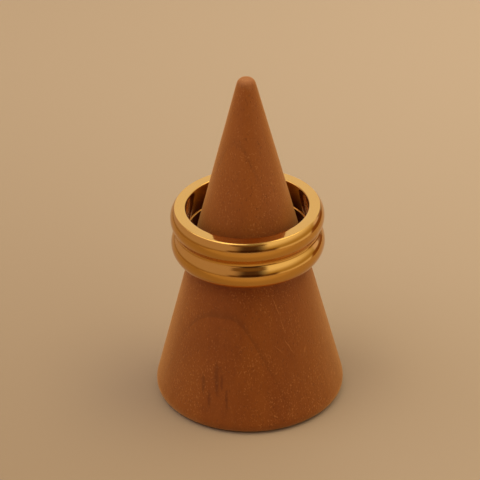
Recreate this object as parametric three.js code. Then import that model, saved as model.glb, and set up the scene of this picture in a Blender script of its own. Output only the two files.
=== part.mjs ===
// A double-rib band ring resting on a plain cone ring stand.
// Millimetres, +Z up. The origin is the centre of the stand's flat underside.

import * as THREE from 'three';

// Stand: one piece of turned wood
const STAND_BASE_DIAMETER = 28.2;
const STAND_HEIGHT = 50.9;
const STAND_TIP_DIAMETER = 2.4;
const STAND_TIP_ROUNDING = 0.8;
const STAND_FOOT_ROUNDING = 2;

// Ring: one piece of polished metal, two round ribs with a small round groove between, stepped inside
const FINGER_HOLE_DIAMETER = 17.15;
const BORE_TAPER = 0.045;
const BORE_STEP_WIDTH = 0.18;
const BORE_STEP_HEIGHT = 3.45;
const BORE_RIM_ROUNDING = 0.45;
const CREST_WALL = 2.245;
const CREST_SPACING = 4.08;
const CREST_TO_END = 1.62;
const RIB_RADIUS = 2.4;
const GROOVE_RADIUS = 0.66;
const FLANK_LENGTH = 0.25;
const EDGE_ROUNDING = 0.18;

// Seat: how the ring lies on the cone
const SEAT_CLEARANCE = 0.3;
const SEAT_LEAN_DEGREES = 0.85;

// Fineness of the facets
const STAND_SIDES = 96;
const RING_SIDES = 72;
const RIB_STEPS = 8;
const GROOVE_STEPS = 6;
const EDGE_STEPS = 3;
const STAND_EDGE_STEPS = 6;

// Finishes
const GOLD = new THREE.MeshStandardMaterial({ color: 0xd8a75c, roughness: 0.16, metalness: 1 });
const STAINED_WOOD = new THREE.MeshStandardMaterial({ color: 0x74391a, roughness: 0.6, metalness: 0 });

// Sizes that follow
const standRadius = STAND_BASE_DIAMETER / 2;
const tipRadius = STAND_TIP_DIAMETER / 2;
const standSlope = (standRadius - tipRadius) / STAND_HEIGHT;
const holeRadius = FINGER_HOLE_DIAMETER / 2;
const stepRadius = holeRadius + BORE_TAPER;
const upperBoreRadius = stepRadius + BORE_STEP_WIDTH;
const crestRadius = upperBoreRadius + CREST_WALL;
const ribCentre = crestRadius - RIB_RADIUS;
const endAngle = Math.asin(CREST_TO_END / RIB_RADIUS);
const endRadius = ribCentre + RIB_RADIUS * Math.cos(endAngle);
const waveRadius = RIB_RADIUS + GROOVE_RADIUS;
const flankLean = Math.atan2(FLANK_LENGTH, waveRadius);
const waveAngle = Math.asin(CREST_SPACING / 2 / Math.hypot(waveRadius, FLANK_LENGTH)) - flankLean;
const grooveCentre = ribCentre + waveRadius * Math.cos(waveAngle) - FLANK_LENGTH * Math.sin(waveAngle);
const grooveHeight = CREST_TO_END + CREST_SPACING / 2;
const ringHeight = grooveHeight * 2;

// Where the cone is as wide as the hole, less the clearance, the ring comes to rest.
const seatHeight = (standRadius - holeRadius + SEAT_CLEARANCE) / standSlope;

// A point of an outline: distance from the axis, height, and how far the corner there is rounded
function corner(radius, height, rounding = 0) {
  const point = new THREE.Vector2(radius, height);
  return { point, rounding };
}

// Points along an upright arc of the band's outside. A negative radius makes it hollow.
function arc(centreRadius, centreHeight, radius, start, end, steps) {
  return Array.from({ length: steps + 1 }, (_, i) => {
    const angle = start + (end - start) * i / steps;
    return corner(centreRadius + radius * Math.cos(angle), centreHeight + radius * Math.sin(angle));
  });
}

// The curve that rounds one corner between its neighbours, kept within half of each side
function roundedCorner(before, { point, rounding }, after, steps) {
  if (rounding === 0) {
    return [point];
  }
  const ends = [before, after].map((neighbour) => {
    const side = neighbour.point.clone().sub(point);
    const reach = Math.min(rounding, side.length() / 2);
    return side.setLength(reach).add(point);
  });
  return new THREE.QuadraticBezierCurve(ends[0], point, ends[1]).getPoints(steps);
}

// The outline's points with its corners rounded
function smoothed(outline, steps) {
  return outline.flatMap((here, i) => {
    const before = outline.at(i - 1);
    const after = outline[(i + 1) % outline.length];
    return roundedCorner(before, here, after, steps);
  });
}

// Turns a half section about the vertical axis into a closed solid.
function turned(points, sides) {
  return new THREE.LatheGeometry(points, sides).rotateX(Math.PI / 2);
}

// The stand's half section: underside, rounded foot, slope and worn round tip
function standGeometry() {
  const outline = [
    corner(0, 0),
    corner(standRadius, 0, STAND_FOOT_ROUNDING),
    corner(tipRadius, STAND_HEIGHT, STAND_TIP_ROUNDING),
    corner(0, STAND_HEIGHT),
  ];
  return turned(smoothed(outline, STAND_EDGE_STEPS), STAND_SIDES);
}

// The band's section: underside, rib, groove, rib, top face, upper bore, step and tapered lower bore.
// A short straight flank joins each rib to the groove without an edge.
function ringGeometry() {
  const stepRounding = Math.min(EDGE_ROUNDING, BORE_STEP_WIDTH / 2);
  const upperCrest = CREST_TO_END + CREST_SPACING;
  const outline = [
    corner(endRadius, 0, EDGE_ROUNDING),
    ...arc(ribCentre, CREST_TO_END, RIB_RADIUS, -endAngle, waveAngle, RIB_STEPS).slice(1),
    ...arc(grooveCentre, grooveHeight, -GROOVE_RADIUS, waveAngle, -waveAngle, GROOVE_STEPS),
    ...arc(ribCentre, upperCrest, RIB_RADIUS, -waveAngle, endAngle, RIB_STEPS).slice(0, -1),
    corner(endRadius, ringHeight, EDGE_ROUNDING),
    corner(upperBoreRadius, ringHeight, BORE_RIM_ROUNDING),
    corner(upperBoreRadius, BORE_STEP_HEIGHT, stepRounding),
    corner(stepRadius, BORE_STEP_HEIGHT, stepRounding),
    corner(holeRadius, 0, EDGE_ROUNDING),
  ];
  const section = smoothed(outline, EDGE_STEPS);
  return turned([...section, section[0]], RING_SIDES);
}

// Assembly
const stand = new THREE.Mesh(standGeometry(), STAINED_WOOD);
stand.name = 'cone_stand';

const ring = new THREE.Mesh(ringGeometry(), GOLD);
ring.name = 'double_rib_ring';
ring.position.z = seatHeight;
ring.rotation.y = THREE.MathUtils.degToRad(-SEAT_LEAN_DEGREES);

const ringOnStand = new THREE.Group();
ringOnStand.name = 'ring_on_stand';
ringOnStand.add(stand, ring);

export default ringOnStand;
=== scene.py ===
# %% [markdown]
# # A gold band ring on a wooden ring cone
#
# This lesson dresses a finished model of two pieces: a polished band ring with two round ribs and a
# small groove between them, and the plain turned cone that it rests on. The model already fixes
# every size and place. Here each piece gets a smooth mesh, a finish worked out from how it is made,
# and a quiet studio to stand in.

# %% Load the frame
import math

import bmesh
import bpy
from mathutils import Matrix, Vector, noise


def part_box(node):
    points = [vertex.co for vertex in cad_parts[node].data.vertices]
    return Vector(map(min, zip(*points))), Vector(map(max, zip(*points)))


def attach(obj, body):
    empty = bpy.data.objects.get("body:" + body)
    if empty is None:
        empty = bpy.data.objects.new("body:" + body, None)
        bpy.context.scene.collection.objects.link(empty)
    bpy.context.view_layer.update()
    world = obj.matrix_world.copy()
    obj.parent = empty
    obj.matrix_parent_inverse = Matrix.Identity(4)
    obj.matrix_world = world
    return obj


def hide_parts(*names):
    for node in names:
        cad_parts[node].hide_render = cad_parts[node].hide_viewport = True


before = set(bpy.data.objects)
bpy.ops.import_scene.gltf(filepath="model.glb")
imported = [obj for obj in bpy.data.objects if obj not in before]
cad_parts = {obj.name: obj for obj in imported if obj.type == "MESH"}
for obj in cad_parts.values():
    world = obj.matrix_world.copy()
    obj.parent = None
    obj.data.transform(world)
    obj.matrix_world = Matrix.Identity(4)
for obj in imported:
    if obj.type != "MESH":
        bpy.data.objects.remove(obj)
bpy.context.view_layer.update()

MM = 0.001
print("model nodes:", sorted(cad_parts))

# %% [markdown]
# ## Outlines that are turned
#
# Both pieces are bodies of revolution: a jeweller turns or casts the band from one section, and a
# wood turner cuts the cone from one slope. A circle array of copies or a Screw modifier would also
# do it. Spinning the outline in bmesh was chosen, because the seam closes exactly and the number of
# sides stays one plain argument. The corners are rounded first, as a polishing wheel would leave them.

# %% Helpers for outlines
def corner(radius, height, rounding=0.0):
    """One corner of an outline, in millimetres, with how far its edge is polished round."""
    return Vector((radius, height)), rounding


def arc(centre_radius, centre_height, radius, start, end, steps):
    """Points along an upright arc, both ends kept. A negative radius makes it hollow."""
    points = []
    for step in range(steps + 1):
        angle = start + (end - start) * step / steps
        out, up = radius * math.cos(angle), radius * math.sin(angle)
        points.append(corner(centre_radius + out, centre_height + up))
    return points


def straight(start, end, steps):
    """Points between two corners, so that a long flat has rings of its own."""
    return [corner(*start[0].lerp(end[0], step / steps)) for step in range(1, steps)]


def rounded(outline, steps=6):
    """The outline's points, each marked corner replaced by a small curve."""
    points = []
    for index, (point, rounding) in enumerate(outline):
        if rounding == 0:
            points.append(point)
            continue
        ends = []
        for neighbour in (outline[index - 1][0], outline[(index + 1) % len(outline)][0]):
            side = neighbour - point
            ends.append(point + side.normalized() * min(rounding, side.length / 2))
        for step in range(steps + 1):
            t = step / steps
            points.append(ends[0] * (1 - t) ** 2 + point * 2 * t * (1 - t) + ends[1] * t ** 2)
    return points


# %% A helper that spins an outline into a mesh
def spin_outline(name, points, sides, closed):
    """Turns an outline of radius and height, in millimetres, round the upright axis."""
    mesh = bmesh.new()
    rim = [mesh.verts.new((point.x * MM, 0, point.y * MM)) for point in points]
    edges = [mesh.edges.new(pair) for pair in zip(rim, rim[1:])]
    if closed:
        edges.append(mesh.edges.new((rim[-1], rim[0])))
    bmesh.ops.spin(
        mesh, geom=rim + edges, axis=(0, 0, 1), cent=(0, 0, 0),
        steps=sides, angle=math.tau, use_merge=True,
    )
    bmesh.ops.remove_doubles(mesh, verts=mesh.verts, dist=1e-7)
    bmesh.ops.dissolve_degenerate(mesh, edges=mesh.edges, dist=1e-8)
    bmesh.ops.recalc_face_normals(mesh, faces=mesh.faces)
    data = bpy.data.meshes.new(name)
    mesh.to_mesh(data)
    mesh.free()
    data.shade_smooth()
    piece = bpy.data.objects.new(name, data)
    bpy.context.scene.collection.objects.link(piece)
    print(f"{name}: {len(data.vertices)} points, {len(data.polygons)} faces")
    return piece


# %% [markdown]
# ## The band ring
#
# The real band is taken to be one casting: two round ribs with a small round groove between them,
# flat end faces, and a bore that is a little wider in its upper half, where a thin bright ledge
# shows. Below the ledge the bore draws in by a hair, which is a guess. The mirror images on the
# outside give the section away: the dark line of the horizon shows three times, once on each rib
# and once, squeezed, in the groove. So rib and groove run into each other as one smooth wave,
# without an edge, over a short straight flank.
# The lamp glints on the upper rib's top edge and not below the groove, so the flanks stay gentle. The
# ribs are true arcs with many steps, because a mirror shows every facet. The ring leans by less than
# a degree, so its mesh is made upright round its own middle and then laid where the model's ring is.

# %% Sizes of the band, in millimetres
FINGER_HOLE_RADIUS = 8.575
BORE_TAPER = 0.045
BORE_STEP_WIDTH = 0.18
BORE_STEP_HEIGHT = 3.45
BORE_RIM_ROUNDING = 0.45
CREST_WALL = 2.245
CREST_SPACING = 4.08
CREST_TO_END = 1.62
RIB_RADIUS = 2.4
GROOVE_RADIUS = 0.66
FLANK_LENGTH = 0.25
EDGE_ROUNDING = 0.18
STEP_ROUNDING = 0.07
SEAT_LEAN = math.radians(0.85)
BAND_SIDES = 288
RIB_STEPS = 30
GROOVE_STEPS = 14
END_FACE_STEPS = 4
BORE_STEPS = 6

step_radius = FINGER_HOLE_RADIUS + BORE_TAPER
upper_bore_radius = step_radius + BORE_STEP_WIDTH
crest_radius = upper_bore_radius + CREST_WALL
rib_centre = crest_radius - RIB_RADIUS
end_angle = math.asin(CREST_TO_END / RIB_RADIUS)
end_radius = rib_centre + RIB_RADIUS * math.cos(end_angle)
wave_radius = RIB_RADIUS + GROOVE_RADIUS
wave_angle = math.asin(CREST_SPACING / 2 / math.hypot(wave_radius, FLANK_LENGTH))
wave_angle -= math.atan2(FLANK_LENGTH, wave_radius)
groove_centre = rib_centre + wave_radius * math.cos(wave_angle) - FLANK_LENGTH * math.sin(wave_angle)
groove_height = CREST_TO_END + CREST_SPACING / 2
band_height = groove_height * 2
print("band height", round(band_height, 2), "mm, outside", round(crest_radius * 2, 2), "mm")


# %% The band's section and mesh
def band_section():
    """Underside, rib, groove, rib, top face, upper bore, ledge and lower bore, once round."""
    upper_crest = CREST_TO_END + CREST_SPACING
    bottom_inside = corner(FINGER_HOLE_RADIUS, 0, EDGE_ROUNDING)
    bottom_outside = corner(end_radius, 0, EDGE_ROUNDING)
    top_outside = corner(end_radius, band_height, EDGE_ROUNDING)
    top_inside = corner(upper_bore_radius, band_height, BORE_RIM_ROUNDING)
    ledge_wall = corner(upper_bore_radius, BORE_STEP_HEIGHT, STEP_ROUNDING)
    ledge_edge = corner(step_radius, BORE_STEP_HEIGHT, STEP_ROUNDING)
    return [
        bottom_outside,
        *arc(rib_centre, CREST_TO_END, RIB_RADIUS, -end_angle, wave_angle, RIB_STEPS)[1:],
        *arc(groove_centre, groove_height, -GROOVE_RADIUS, wave_angle, -wave_angle, GROOVE_STEPS),
        *arc(rib_centre, upper_crest, RIB_RADIUS, -wave_angle, end_angle, RIB_STEPS)[:-1],
        top_outside,
        *straight(top_outside, top_inside, END_FACE_STEPS),
        top_inside,
        *straight(top_inside, ledge_wall, BORE_STEPS),
        ledge_wall,
        ledge_edge,
        *straight(ledge_edge, bottom_inside, BORE_STEPS),
        bottom_inside,
        *straight(bottom_inside, bottom_outside, END_FACE_STEPS),
    ]


band = spin_outline("polished_band", rounded(band_section()), BAND_SIDES, closed=True)


# %% The band's hand-polished waviness and its place
POLISH_WAVE = 0.0025
POLISH_WAVE_LENGTH = 2.4


def polish_by_hand(piece):
    """Moves each point by a few thousandths of a millimetre, as a polishing wheel leaves a casting."""
    for vertex in piece.data.vertices:
        drift = noise.noise_vector(vertex.co / MM / POLISH_WAVE_LENGTH)
        vertex.co += drift * POLISH_WAVE * MM


polish_by_hand(band)
band.data.transform(Matrix.Translation((0, 0, -band_height / 2 * MM)))
node_low, node_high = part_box("double_rib_ring")
band_middle = (node_low + node_high) / 2
band.matrix_world = Matrix.Translation(band_middle) @ Matrix.Rotation(-SEAT_LEAN, 4, "Y")
print("band middle, mm:", [round(c / MM, 3) for c in band_middle])

# %% [markdown]
# ## A short way to write materials
#
# A finish is a small network of nodes. Writing every link by hand is long, so one helper adds a
# node, sets its options and fills its inputs: a number or colour is set on the socket, and the
# output of another node is linked to it. Numbers that are the same all over a surface go straight
# onto the shader.

# %% Helpers for materials
def linear(red, green, blue):
    """A colour given as the eye sees it on a screen, 0 to 255, as the linear light a shader wants."""
    channels = []
    for value in (red, green, blue):
        share = value / 255
        channels.append(share / 12.92 if share <= 0.04045 else ((share + 0.055) / 1.055) ** 2.4)
    return (*channels, 1.0)


def add_node(tree, kind, inputs=None, **options):
    """Adds one node, sets its options, and fills or links its inputs."""
    node = tree.nodes.new(kind)
    for option, value in options.items():
        setattr(node, option, value)
    for socket, value in (inputs or {}).items():
        if isinstance(value, bpy.types.NodeSocket):
            tree.links.new(value, node.inputs[socket])
        else:
            node.inputs[socket].default_value = value
    return node


def new_finish(name):
    """A new material, its node tree and its shader."""
    finish = bpy.data.materials.new(name)
    finish.use_nodes = True
    tree = finish.node_tree
    return finish, tree, tree.nodes["Principled BSDF"]


def in_millimetres(tree, stretch=(1, 1, 1)):
    """Coordinates on the piece itself, in millimetres, stretched where a grain runs long."""
    place = add_node(tree, "ShaderNodeTexCoord").outputs["Object"]
    scale = [share / MM for share in stretch]
    return add_node(tree, "ShaderNodeMapping", {"Vector": place, "Scale": scale}).outputs["Vector"]


def cloud(tree, vector, scale, detail=2.0, roughness=0.5):
    """Soft noise between 0 and 1. Its scale is in features for each millimetre."""
    inputs = {"Vector": vector, "Scale": scale, "Detail": detail, "Roughness": roughness}
    return add_node(tree, "ShaderNodeTexNoise", inputs).outputs["Fac"]


def ramp(tree, value, low, high, start=0.0, end=1.0):
    """Maps one stretch of values onto another, smoothly and without passing its ends."""
    inputs = {"Value": value, "From Min": low, "From Max": high, "To Min": start, "To Max": end}
    return add_node(tree, "ShaderNodeMapRange", inputs, interpolation_type="SMOOTHSTEP").outputs["Result"]


def blend_colours(tree, share, first, second):
    """Mixes two colours by a share."""
    node = add_node(tree, "ShaderNodeMix", data_type="RGBA")
    for socket, value in ((0, share), (6, first), (7, second)):
        if isinstance(value, bpy.types.NodeSocket):
            tree.links.new(value, node.inputs[socket])
        else:
            node.inputs[socket].default_value = value
    return node.outputs[2]


def sums(tree, operation, first, second):
    """One sum on two values."""
    return add_node(tree, "ShaderNodeMath", {0: first, 1: second}, operation=operation).outputs[0]


def vector_sums(tree, operation, first, second):
    """One sum on two vectors."""
    return add_node(tree, "ShaderNodeVectorMath", {0: first, 1: second}, operation=operation).outputs[0]


def length_of(tree, vector):
    """The length of a vector."""
    return add_node(tree, "ShaderNodeVectorMath", {0: vector}, operation="LENGTH").outputs["Value"]


# %% [markdown]
# ## Polished gold
#
# Gold has no colour of its own under a skin of light: it is a metal, so its whole look is what it
# mirrors, tinted yellow. A plain metal shader looks like a toy, because a real ring has been
# polished and handled. Fine hairlines run round the band from the wheel, the polish is a little
# duller in places, and the surface is never quite true. All three are small: they show only where a
# reflection breaks up. Deep in the bore the gold's colour is painted dark brown, as painted shade for
# the shadow that the wall mirrors there. The bore's wall looks darker than clean gold, and the cause
# can't be seen. It fades out towards the rim and leaves the ledge bright.

# %% The gold finish
GOLD_TINT = (0.68, 0.365, 0.08, 1.0)
GOLD_TINT_DEEP = (0.65, 0.34, 0.068, 1.0)
PATCH_SCALE = 0.35
HAIRLINE_STRETCH = (0.12, 0.12, 1)
HAIRLINE_SCALE = 26
HAIRLINE_DEPTH = 0.0006
HANDLING_SCALE = 7

gold, tree, shader = new_finish("polished_gold")
plain = in_millimetres(tree)
patches = cloud(tree, plain, PATCH_SCALE, detail=3)
along_band = in_millimetres(tree, stretch=HAIRLINE_STRETCH)
hairlines = cloud(tree, along_band, HAIRLINE_SCALE, detail=4, roughness=0.7)
handling = ramp(tree, cloud(tree, plain, HANDLING_SCALE, detail=5, roughness=0.65), 0.56, 0.72)
polish = ramp(tree, patches, 0.3, 0.7, 0.075, 0.115)
polish = sums(tree, "ADD", polish, ramp(tree, hairlines, 0.5, 0.8, 0.0, 0.05))
polish = sums(tree, "ADD", polish, ramp(tree, handling, 0.0, 1.0, 0.0, 0.04))
tree.links.new(polish, shader.inputs["Roughness"])
relief = {"Height": hairlines, "Distance": HAIRLINE_DEPTH * MM, "Strength": 1.0}
bump = add_node(tree, "ShaderNodeBump", relief)
tree.links.new(bump.outputs["Normal"], shader.inputs["Normal"])

# %% The gold's colour, with painted shade deep in the bore
# Painted shade: the bore's wall is darkened towards its lower part, where it mirrors shadow.
BORE_PAINTED_SHADE = (0.26, 0.10, 0.03, 1.0)
BORE_SHADE_SHARE = 0.75
BORE_SHADE_TOP = 2.5
BORE_SHADE_FULL = 0.4
BORE_SHADE_RIM = (0.06, 0.02)
LIT_LEDGE = (0.07, 0.14)

colour = blend_colours(tree, patches, GOLD_TINT, GOLD_TINT_DEEP)
from_axis = length_of(tree, in_millimetres(tree, stretch=(1, 1, 0)))
in_bore = ramp(tree, from_axis, *(upper_bore_radius + edge for edge in BORE_SHADE_RIM))
height = add_node(tree, "ShaderNodeSeparateXYZ", {0: plain}).outputs["Z"]
deep_in = ramp(tree, height, BORE_SHADE_TOP, BORE_SHADE_FULL)
above_ledge = sums(tree, "SUBTRACT", height, BORE_STEP_HEIGHT - band_height / 2)
off_ledge = ramp(tree, sums(tree, "ABSOLUTE", above_ledge, 0.0), *LIT_LEDGE)
# Painted shade: strongest low in the bore, none near the rim or on the ledge.
bore_shade = sums(tree, "MULTIPLY", sums(tree, "MULTIPLY", in_bore, deep_in), off_ledge)
colour = blend_colours(tree, sums(tree, "MULTIPLY", bore_shade, BORE_SHADE_SHARE), colour, BORE_PAINTED_SHADE)
tree.links.new(colour, shader.inputs["Base Color"])
shader.inputs["Metallic"].default_value = 1.0
band.data.materials.append(gold)
print("gold finish:", len(tree.nodes), "nodes")

# %% [markdown]
# ## The cone stand
#
# The stand is one piece of hardwood, turned between centres with its grain upright, stained and
# given a thin satin coat. Its slope is straight. Sanding leaves it very slightly uneven, and the
# tip, which fingers and rings rub, is blunter and a little rough. The same spin makes it, with an
# outline that starts and ends on the axis, and a second pass moves the points by a few hundredths.

# %% Sizes of the stand, in millimetres
stand_low, stand_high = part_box("cone_stand")
STAND_HEIGHT = (stand_high.z - stand_low.z) / MM
STAND_BASE_RADIUS = 14.1
STAND_TIP_RADIUS = 1.2
STAND_TIP_ROUNDING = 0.8
STAND_FOOT_ROUNDING = 2.0
STAND_CUT_BACK = 0.01
STAND_SIDES = 192
SLOPE_RINGS = 110
STAND_EDGE_STEPS = 14

slope_angle = math.atan2(STAND_BASE_RADIUS - STAND_TIP_RADIUS, STAND_HEIGHT)
print("stand:", round(STAND_HEIGHT, 2), "mm tall, slope", round(math.degrees(slope_angle), 2), "degrees")


# %% The stand's outline and mesh
def stand_outline():
    """Underside, rounded foot, slope and rounded tip, a hair inside the model's own outline."""
    centre = corner(0, 0)
    foot = corner(STAND_BASE_RADIUS - STAND_CUT_BACK, 0, STAND_FOOT_ROUNDING)
    tip = corner(STAND_TIP_RADIUS - STAND_CUT_BACK, STAND_HEIGHT - STAND_CUT_BACK, STAND_TIP_ROUNDING)
    middle = corner(0, STAND_HEIGHT - STAND_CUT_BACK)
    points = rounded([centre, foot, tip, middle], steps=STAND_EDGE_STEPS)
    slope_start = max(range(len(points) - 1), key=lambda i: (points[i + 1] - points[i]).length)
    low, high = points[slope_start:slope_start + 2]
    slope = [low.lerp(high, ring / SLOPE_RINGS) for ring in range(1, SLOPE_RINGS)]
    return points[:slope_start + 1] + slope + points[slope_start + 1:]


cone = spin_outline("turned_cone", stand_outline(), STAND_SIDES, closed=False)


# %% The sanding of the stand
SANDING_DRIFT = 0.02
SANDING_LENGTH = 6.0
TIP_WEAR = 0.05
TIP_WEAR_LENGTH = 0.7
TIP_WEAR_REACH = 2.2


def sand_by_hand(piece):
    """Pulls the points inwards by a few hundredths of a millimetre, more on the worn tip."""
    for vertex in piece.data.vertices:
        height = vertex.co.z / MM
        outwards = Vector((vertex.co.x, vertex.co.y, 0))
        if height == 0 or outwards.length == 0:
            continue
        grain = vertex.co / MM
        broad = 0.5 + 0.5 * noise.noise(grain / SANDING_LENGTH)
        near_tip = max(0.0, 1 - (STAND_HEIGHT - height) / TIP_WEAR_REACH)
        wear = 0.5 + 0.5 * noise.noise(grain / TIP_WEAR_LENGTH)
        depth = SANDING_DRIFT * broad + TIP_WEAR * near_tip * wear
        vertex.co -= outwards.normalized() * min(depth * MM, outwards.length / 4)


sand_by_hand(cone)

# %% [markdown]
# ## Stained wood
#
# The wood is a close-grained one under a red-brown stain. Three things make it read as wood. The
# growth rings are broad shells round a heart that lies behind the cone, so the slope cuts them as
# nested arches. Short pale flecks and darker pores run up the grain. The stain has taken unevenly
# and is rubbed away at the tip. Where the ring sits round the cone, the wood's colour is painted
# darker and redder: painted shade from the ring, tinted by the light that the gold throws back. A
# ready-made wood picture would repeat and would not turn round the cone, so solid textures are used:
# they fill the block of wood, and the surface cuts through them.

# %% The wood's growth rings and stain
STAIN_DARK = linear(126, 59, 11)
STAIN_LIGHT = linear(138, 70, 18)
STAIN_THIN = linear(172, 99, 40)
STAIN_PALE = linear(180, 138, 90)
# Painted shade, tinted red as light thrown back by the gold, for the wood inside the ring.
PAINTED_RING_SHADE = linear(80, 18, 3)
PORE_DARK = linear(78, 30, 8)
FLECK_PALE = linear(206, 134, 66)
HEART = Vector((16.9, 36.25, 0.0))
RING_SPACING = 6.2
RING_OFFSET = -0.17
SEASONS_PER_RING = 5
SEASON_SHARE = 0.05
WANDER_SCALE = 0.2
WANDER_WIDTH = (0.7, 0.7, 0.0)
THIN_HEIGHTS = (10.0, 46.0)
THIN_SHARE = 0.36
RING_SHADE_SHARE = 0.6

wood, tree, shader = new_finish("stained_wood")
plain = in_millimetres(tree)
grain = in_millimetres(tree, stretch=(1, 1, 0.16))
wander = add_node(tree, "ShaderNodeTexNoise", {"Vector": grain, "Scale": WANDER_SCALE, "Detail": 1.0})
wander = vector_sums(tree, "SUBTRACT", wander.outputs["Color"], (0.5, 0.5, 0.5))
wander = vector_sums(tree, "MULTIPLY", wander, WANDER_WIDTH)
from_heart = vector_sums(tree, "SUBTRACT", vector_sums(tree, "ADD", plain, wander), HEART)
distance = length_of(tree, vector_sums(tree, "MULTIPLY", from_heart, (1, 1, 0)))
distance = sums(tree, "ADD", distance, RING_OFFSET)
year = sums(tree, "FRACT", sums(tree, "DIVIDE", distance, RING_SPACING), 0.0)
late_wood = sums(tree, "MULTIPLY", ramp(tree, year, 0.93, 0.985), ramp(tree, year, 1.0, 0.99))
season = sums(tree, "FRACT", sums(tree, "DIVIDE", distance, RING_SPACING / SEASONS_PER_RING), 0.0)
season = sums(tree, "MULTIPLY", ramp(tree, season, 0.3, 0.9), ramp(tree, season, 1.0, 0.9))
blotches = cloud(tree, grain, 0.30, detail=4, roughness=0.6)
colour = blend_colours(tree, ramp(tree, blotches, 0.25, 0.75), STAIN_DARK, STAIN_LIGHT)
axes = add_node(tree, "ShaderNodeSeparateXYZ", {0: plain}).outputs
line_fade = ramp(tree, cloud(tree, plain, 0.12, detail=1), 0.38, 0.62, 0.06, 0.26)
line_fade = sums(tree, "MULTIPLY", line_fade, ramp(tree, axes["X"], 4.0, -1.0, 0.3, 1.0))
line_share = sums(tree, "MULTIPLY", late_wood, line_fade)
colour = blend_colours(tree, line_share, colour, PORE_DARK)
colour = blend_colours(tree, sums(tree, "MULTIPLY", season, SEASON_SHARE), colour, PORE_DARK)
colour = blend_colours(tree, ramp(tree, axes["Z"], *THIN_HEIGHTS, 0.0, THIN_SHARE), colour, STAIN_THIN)
# Painted shade: a band at the ring's height, darker and redder where the ring shades the wood.
ring_shade = sums(tree, "MULTIPLY", ramp(tree, axes["Z"], 22.6, 23.4), ramp(tree, axes["Z"], 30.5, 27.0))
colour = blend_colours(tree, sums(tree, "MULTIPLY", ring_shade, RING_SHADE_SHARE), colour, PAINTED_RING_SHADE)

# %% The wood's flecks and pores
FLECK_STRETCH = (1, 1, 0.7)
FLECK_SCALE = 4.6
FLECK_SHARE = 0.36
PORE_STRETCH = (1, 1, 0.5)
PORE_SCALE = 4.2
PORE_SHARE = 0.34

along_flecks = in_millimetres(tree, stretch=FLECK_STRETCH)
flecks = ramp(tree, cloud(tree, along_flecks, FLECK_SCALE, detail=3.0), 0.54, 0.72)
fleck_zone = ramp(tree, cloud(tree, plain, 0.16, detail=2), 0.40, 0.60, 0.35, 1.0)
fleck_share = sums(tree, "MULTIPLY", flecks, sums(tree, "MULTIPLY", fleck_zone, FLECK_SHARE))
colour = blend_colours(tree, fleck_share, colour, FLECK_PALE)
along_pores = in_millimetres(tree, stretch=PORE_STRETCH)
pores = ramp(tree, cloud(tree, along_pores, PORE_SCALE, detail=3.0), 0.56, 0.72)
colour = blend_colours(tree, sums(tree, "MULTIPLY", pores, PORE_SHARE), colour, PORE_DARK)

# %% Short dark scars near the foot and pale scratches on the right
SCARS = (
    # x, middle height, half width, half length, all in millimetres, and the lean
    (-6.76, 6.7, 0.26, 1.8, 0.0),
    (-4.81, 8.0, 0.34, 2.8, 0.0),
    (-4.10, 7.6, 0.22, 1.3, 0.0),
    (-3.46, 5.2, 0.22, 1.9, 0.0),
    (-6.00, 4.8, 0.26, 1.4, 0.0),
)
SCRATCHES = (
    (3.80, 18.6, 0.06, 1.6, -0.38),
    (4.75, 15.6, 0.05, 1.3, -0.30),
    (5.60, 12.4, 0.06, 1.4, -0.55),
    (4.15, 12.3, 0.05, 0.8, -1.00),
    (7.90, 10.9, 0.08, 0.5, 0.10),
)
SCAR_WOBBLE = 0.5
SCAR_STRENGTH = 0.40
SCRATCH_WOBBLE = 0.25
SCRATCH_STRENGTH = 0.30
in_front = ramp(tree, axes["Y"], 0.0, -1.0)
wobble = sums(tree, "SUBTRACT", cloud(tree, plain, 1.3, detail=3), 0.5)


def marked(tree, colour, marks, wobble_width, strength, mark_colour):
    """Draws short marks that run up the slope, each a thin upright lens that may lean."""
    sideways = sums(tree, "ADD", axes["X"], sums(tree, "MULTIPLY", wobble, wobble_width))
    for x, z, half_width, half_length, lean in marks:
        above = sums(tree, "SUBTRACT", axes["Z"], z)
        beside = sums(tree, "SUBTRACT", sideways, x)
        beside = sums(tree, "SUBTRACT", beside, sums(tree, "MULTIPLY", above, lean))
        across = sums(tree, "POWER", sums(tree, "DIVIDE", beside, half_width), 2.0)
        along = sums(tree, "POWER", sums(tree, "DIVIDE", above, half_length), 2.0)
        share = sums(tree, "MULTIPLY", ramp(tree, sums(tree, "ADD", across, along), 1.3, 0.1), in_front)
        colour = blend_colours(tree, sums(tree, "MULTIPLY", share, strength), colour, mark_colour)
    return colour


colour = marked(tree, colour, SCARS, SCAR_WOBBLE, SCAR_STRENGTH, PORE_DARK)
colour = marked(tree, colour, SCRATCHES, SCRATCH_WOBBLE, SCRATCH_STRENGTH, FLECK_PALE)

# %% The wood's worn tip
RUBBED_SHARE = 0.15

rubbed = sums(tree, "ADD", axes["Z"], sums(tree, "MULTIPLY", cloud(tree, plain, 1.1, detail=3), 1.6))
rubbed = ramp(tree, rubbed, STAND_HEIGHT - 0.6, STAND_HEIGHT + 0.9)
colour = blend_colours(tree, sums(tree, "MULTIPLY", rubbed, RUBBED_SHARE), colour, STAIN_PALE)
tree.links.new(colour, shader.inputs["Base Color"])

# %% The wood's satin coat
COAT_RELIEF = 0.02

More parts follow.
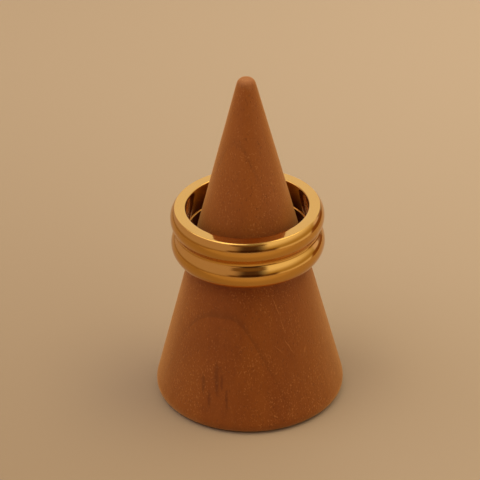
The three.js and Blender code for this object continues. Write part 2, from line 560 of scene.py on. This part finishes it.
satin = ramp(tree, blotches, 0.3, 0.7, 0.50, 0.40)
satin = sums(tree, "ADD", satin, sums(tree, "MULTIPLY", rubbed, 0.25))
tree.links.new(satin, shader.inputs["Roughness"])
relief = sums(tree, "SUBTRACT", sums(tree, "MULTIPLY", flecks, 0.5), pores)
relief = sums(tree, "ADD", relief, sums(tree, "MULTIPLY", cloud(tree, grain, 5, detail=4), 0.6))
bump = add_node(tree, "ShaderNodeBump", {"Height": relief, "Distance": COAT_RELIEF * MM, "Strength": 0.8})
tree.links.new(bump.outputs["Normal"], shader.inputs["Normal"])
shader.inputs["Specular IOR Level"].default_value = 0.16
shader.inputs["Sheen Weight"].default_value = 0.68
shader.inputs["Sheen Roughness"].default_value = 0.5
shader.inputs["Sheen Tint"].default_value = (1.0, 0.49, 0.12, 1.0)
cone.data.materials.append(wood)
print("wood finish:", len(tree.nodes), "nodes")

# %% [markdown]
# ## Handing the pieces over
#
# Each new mesh stands for one solid of the model and rides on the same body, and the model's own
# mesh of that solid is hidden.

# %% Ride and replace
for piece, node_name, slot_name in (
    (band, "double_rib_ring", "polished_gold"),
    (cone, "cone_stand", "stained_wood"),
):
    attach(piece, "root")
    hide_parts(node_name)

# %% [markdown]
# ## The floor
#
# A plain pale floor carries the stand. It is warm, because polished gold shows its floor: the lower
# half of each rib mirrors nothing else. Light and shade are painted into its colour: it is a little
# lighter at the back and on the right, and lighter again in front, outside the picture, where the
# ribs mirror it. It ends not far from the stand, and the sky takes over its colour there.

# %% The floor
FLOOR_SIDES = ((-108, 108), (-113, 600))
FLOOR_SHADE = linear(154, 127, 92)
FLOOR_LIGHT = linear(187, 160, 123)
# Where the painted light begins and ends, in millimetres, and its share at both
RIGHT_SHADING = (-70.0, 70.0, 0.0, 0.45)
BACK_SHADING = (-60.0, 110.0, 0.0, 0.55)
FRONT_SHADING = (-25.0, -55.0, 0.0, 0.7)

floor_mesh = bpy.data.meshes.new("studio_floor")
(left, right), (front, back) = FLOOR_SIDES
floor_plan = ((left, front), (right, front), (right, back), (left, back))
floor_corners = [(x * MM, y * MM, stand_low.z) for x, y in floor_plan]
floor_mesh.from_pydata(floor_corners, [], [(0, 1, 2, 3)])
floor = bpy.data.objects.new("studio_floor", floor_mesh)
bpy.context.scene.collection.objects.link(floor)
floor_paint, tree, shader = new_finish("floor_paint")
floor_axes = add_node(tree, "ShaderNodeSeparateXYZ", {0: in_millimetres(tree)}).outputs
# Painted light: the floor's colour grows lighter to the right, to the back and in front.
to_right = ramp(tree, floor_axes["X"], *RIGHT_SHADING)
to_back = ramp(tree, floor_axes["Y"], *BACK_SHADING)
to_front = ramp(tree, floor_axes["Y"], *FRONT_SHADING)
painted_light_share = sums(tree, "ADD", sums(tree, "ADD", to_right, to_back), to_front)
tree.links.new(blend_colours(tree, painted_light_share, FLOOR_SHADE, FLOOR_LIGHT), shader.inputs["Base Color"])
shader.inputs["Roughness"].default_value = 0.9
shader.inputs["Specular IOR Level"].default_value = 0.1
floor_mesh.materials.append(floor_paint)

# %% [markdown]
# ## The studio
#
# A mirror needs something to mirror. Lamps as objects would stand in the way when the ring is seen
# from another side, so the studio is painted on the sky round the set instead: soft panels of
# light, each a patch between two bearings and two heights, laid over a dim room. Bearing 0 is
# towards the front view, 90 is to the right. Each later patch lies over the earlier ones. Where the
# patches lie and how strong they are was found by comparing renders with the real ring's mirror
# images. The names are only labels: what stood there can't be known.

# %% The soft panels of the studio
PANELS = (
    # name,             bearings,     heights,    softness,  slant,  light
    ("back wall",       (115, 245),   (6, 75),    (14, 12),  0.0,    (1.04, 1.06, 1.18)),
    ("left wall",       (-158, -8),   (-5, 48),   (14, 12),  0.0,    (0.56, 0.42, 0.41)),
    ("right wall",      (24, 112),    (-8, 62),   (16, 8),   0.0,    (0.52, 0.37, 0.15)),
    ("right window",    (24, 112),    (19, 62),   (16, 30),  0.0,    (1.14, 1.09, 1.12)),
    ("left lamp",       (-118, -2),   (39, 62),   (16, 6),   0.18,   (2.10, 2.15, 2.60)),
    ("front dark",      (-15, 21),    (-14, 42),  (22, 8),   0.0,    (0.09, 0.05, 0.04)),
    ("front dark top",  (-28, 28),    (33, 42),   (10, 6),   0.0,    (0.20, 0.11, 0.05)),
    ("skirting",        (-180, 180),  (-90, -5),  (2, 6),    0.0,    (0.38, 0.23, 0.11)),
    ("front low wide",  (-29, 42),    (-8, 4),    (10, 4),   0.0,    (0.18, 0.09, 0.03)),
    ("front low dark",  (-13, 18),    (-8, 9),    (10, 5),   0.0,    (0.05, 0.02, 0.01)),
    ("front low edge",  (-32, 46),    (-16, -9),  (12, 3),   0.0,    (0.56, 0.43, 0.42)),
    ("right low edge",  (42, 102),    (-16, -4),  (10, 4),   0.0,    (0.86, 0.74, 0.70)),
    ("far right rim",   (103, 141),   (-16, 3),   (6, 5),    0.0,    (0.27, 0.11, 0.03)),
    ("far right post",  (126, 152),   (1, 19),    (6, 6),    0.0,    (0.40, 0.26, 0.25)),
    ("far right gap",   (111, 126),   (4, 14),    (6, 5),    0.0,    (0.85, 0.70, 0.85)),
    ("far floor",       (-180, 180),  (-90, -16), (2, 4),    0.0,    (0.50, 0.33, 0.18)),
    ("front ceiling",   (-2, 50),     (54, 84),   (30, 8),   0.0,    (0.25, 0.23, 0.22)),
    ("left top lamp",   (-110, -45),  (62, 80),   (24, 8),   0.0,    (5.10, 4.95, 4.30)),
    ("right top lamp",  (62, 130),    (50, 74),   (24, 8),   0.0,    (4.10, 3.85, 3.20)),
)
ROOM_LIGHT = (0.50, 0.48, 0.47, 1.0)


# %% Paint the studio on the sky
def between(tree, value, low, high, softness):
    """1 between two limits and 0 outside them, with soft edges."""
    rise = ramp(tree, value, low - softness / 2, low + softness / 2)
    fall = ramp(tree, value, high + softness / 2, high - softness / 2)
    return sums(tree, "MULTIPLY", rise, fall)


def paint_studio():
    """A world whose light depends only on the direction it comes from."""
    world = bpy.data.worlds.new("studio")
    world.use_nodes = True
    bpy.context.scene.world = world
    tree = world.node_tree
    direction = add_node(tree, "ShaderNodeTexCoord").outputs["Generated"]
    parts = add_node(tree, "ShaderNodeSeparateXYZ", {0: direction}).outputs
    towards_viewer = sums(tree, "MULTIPLY", parts["Y"], -1)
    bearing = sums(tree, "ARCTAN2", parts["X"], towards_viewer)
    bearing = add_node(tree, "ShaderNodeMath", {0: bearing}, operation="DEGREES").outputs[0]
    height = add_node(tree, "ShaderNodeMath", {0: parts["Z"]}, operation="ARCSINE").outputs[0]
    height = add_node(tree, "ShaderNodeMath", {0: height}, operation="DEGREES").outputs[0]
    light = ROOM_LIGHT
    for name, bearings, heights, softness, slant, colour in PANELS:
        middle = sum(bearings) / 2
        turned = sums(tree, "SUBTRACT", bearing, middle)
        half_turn = {0: turned, 1: 180.0, 2: -180.0}
        turned = add_node(tree, "ShaderNodeMath", half_turn, operation="WRAP").outputs[0]
        half_width = (bearings[1] - bearings[0]) / 2
        across = between(tree, turned, -half_width, half_width, softness[0])
        raised = sums(tree, "SUBTRACT", height, sums(tree, "MULTIPLY", turned, slant))
        upright = between(tree, raised, *heights, softness[1])
        light = blend_colours(tree, sums(tree, "MULTIPLY", across, upright), light, (*colour, 1.0))
        print("panel:", name)
    background = tree.nodes["Background"]
    tree.links.new(light, background.inputs["Color"])
    background.inputs["Strength"].default_value = 1.0


paint_studio()

# %% [markdown]
# ## The camera
#
# The view is the one a small object gets on a photographer's table: a long lens, nearly half a
# metre away, looking down at about 32 degrees, with the camera held a touch off level.

# %% The camera
VIEW_DISTANCE = 446 * MM
VIEW_HEIGHT_ANGLE = math.radians(31.68)
VIEW_ROLL = math.radians(-0.835)
VIEW_AIM = Vector((-1.18, 0, 24.56)) * MM
SENSOR_WIDTH = 36.0
PICTURE_WIDTH = 480
FOCAL_PIXELS = 3106

lens = bpy.data.cameras.new("studio_camera")
lens.sensor_fit = "HORIZONTAL"
lens.sensor_width = SENSOR_WIDTH
lens.lens = FOCAL_PIXELS / PICTURE_WIDTH * SENSOR_WIDTH
lens.clip_start = 0.01
camera = bpy.data.objects.new("studio_camera", lens)
bpy.context.scene.collection.objects.link(camera)
backwards = Vector((0, -math.cos(VIEW_HEIGHT_ANGLE), math.sin(VIEW_HEIGHT_ANGLE)))
place = Matrix.Translation(VIEW_AIM + backwards * VIEW_DISTANCE)
tilt = Matrix.Rotation(math.pi / 2 - VIEW_HEIGHT_ANGLE, 4, "X")
camera.matrix_world = place @ tilt @ Matrix.Rotation(VIEW_ROLL, 4, "Z")
bpy.context.scene.camera = camera
bpy.context.scene.view_settings.view_transform = "Standard"
print("lens:", round(lens.lens, 1), "mm")
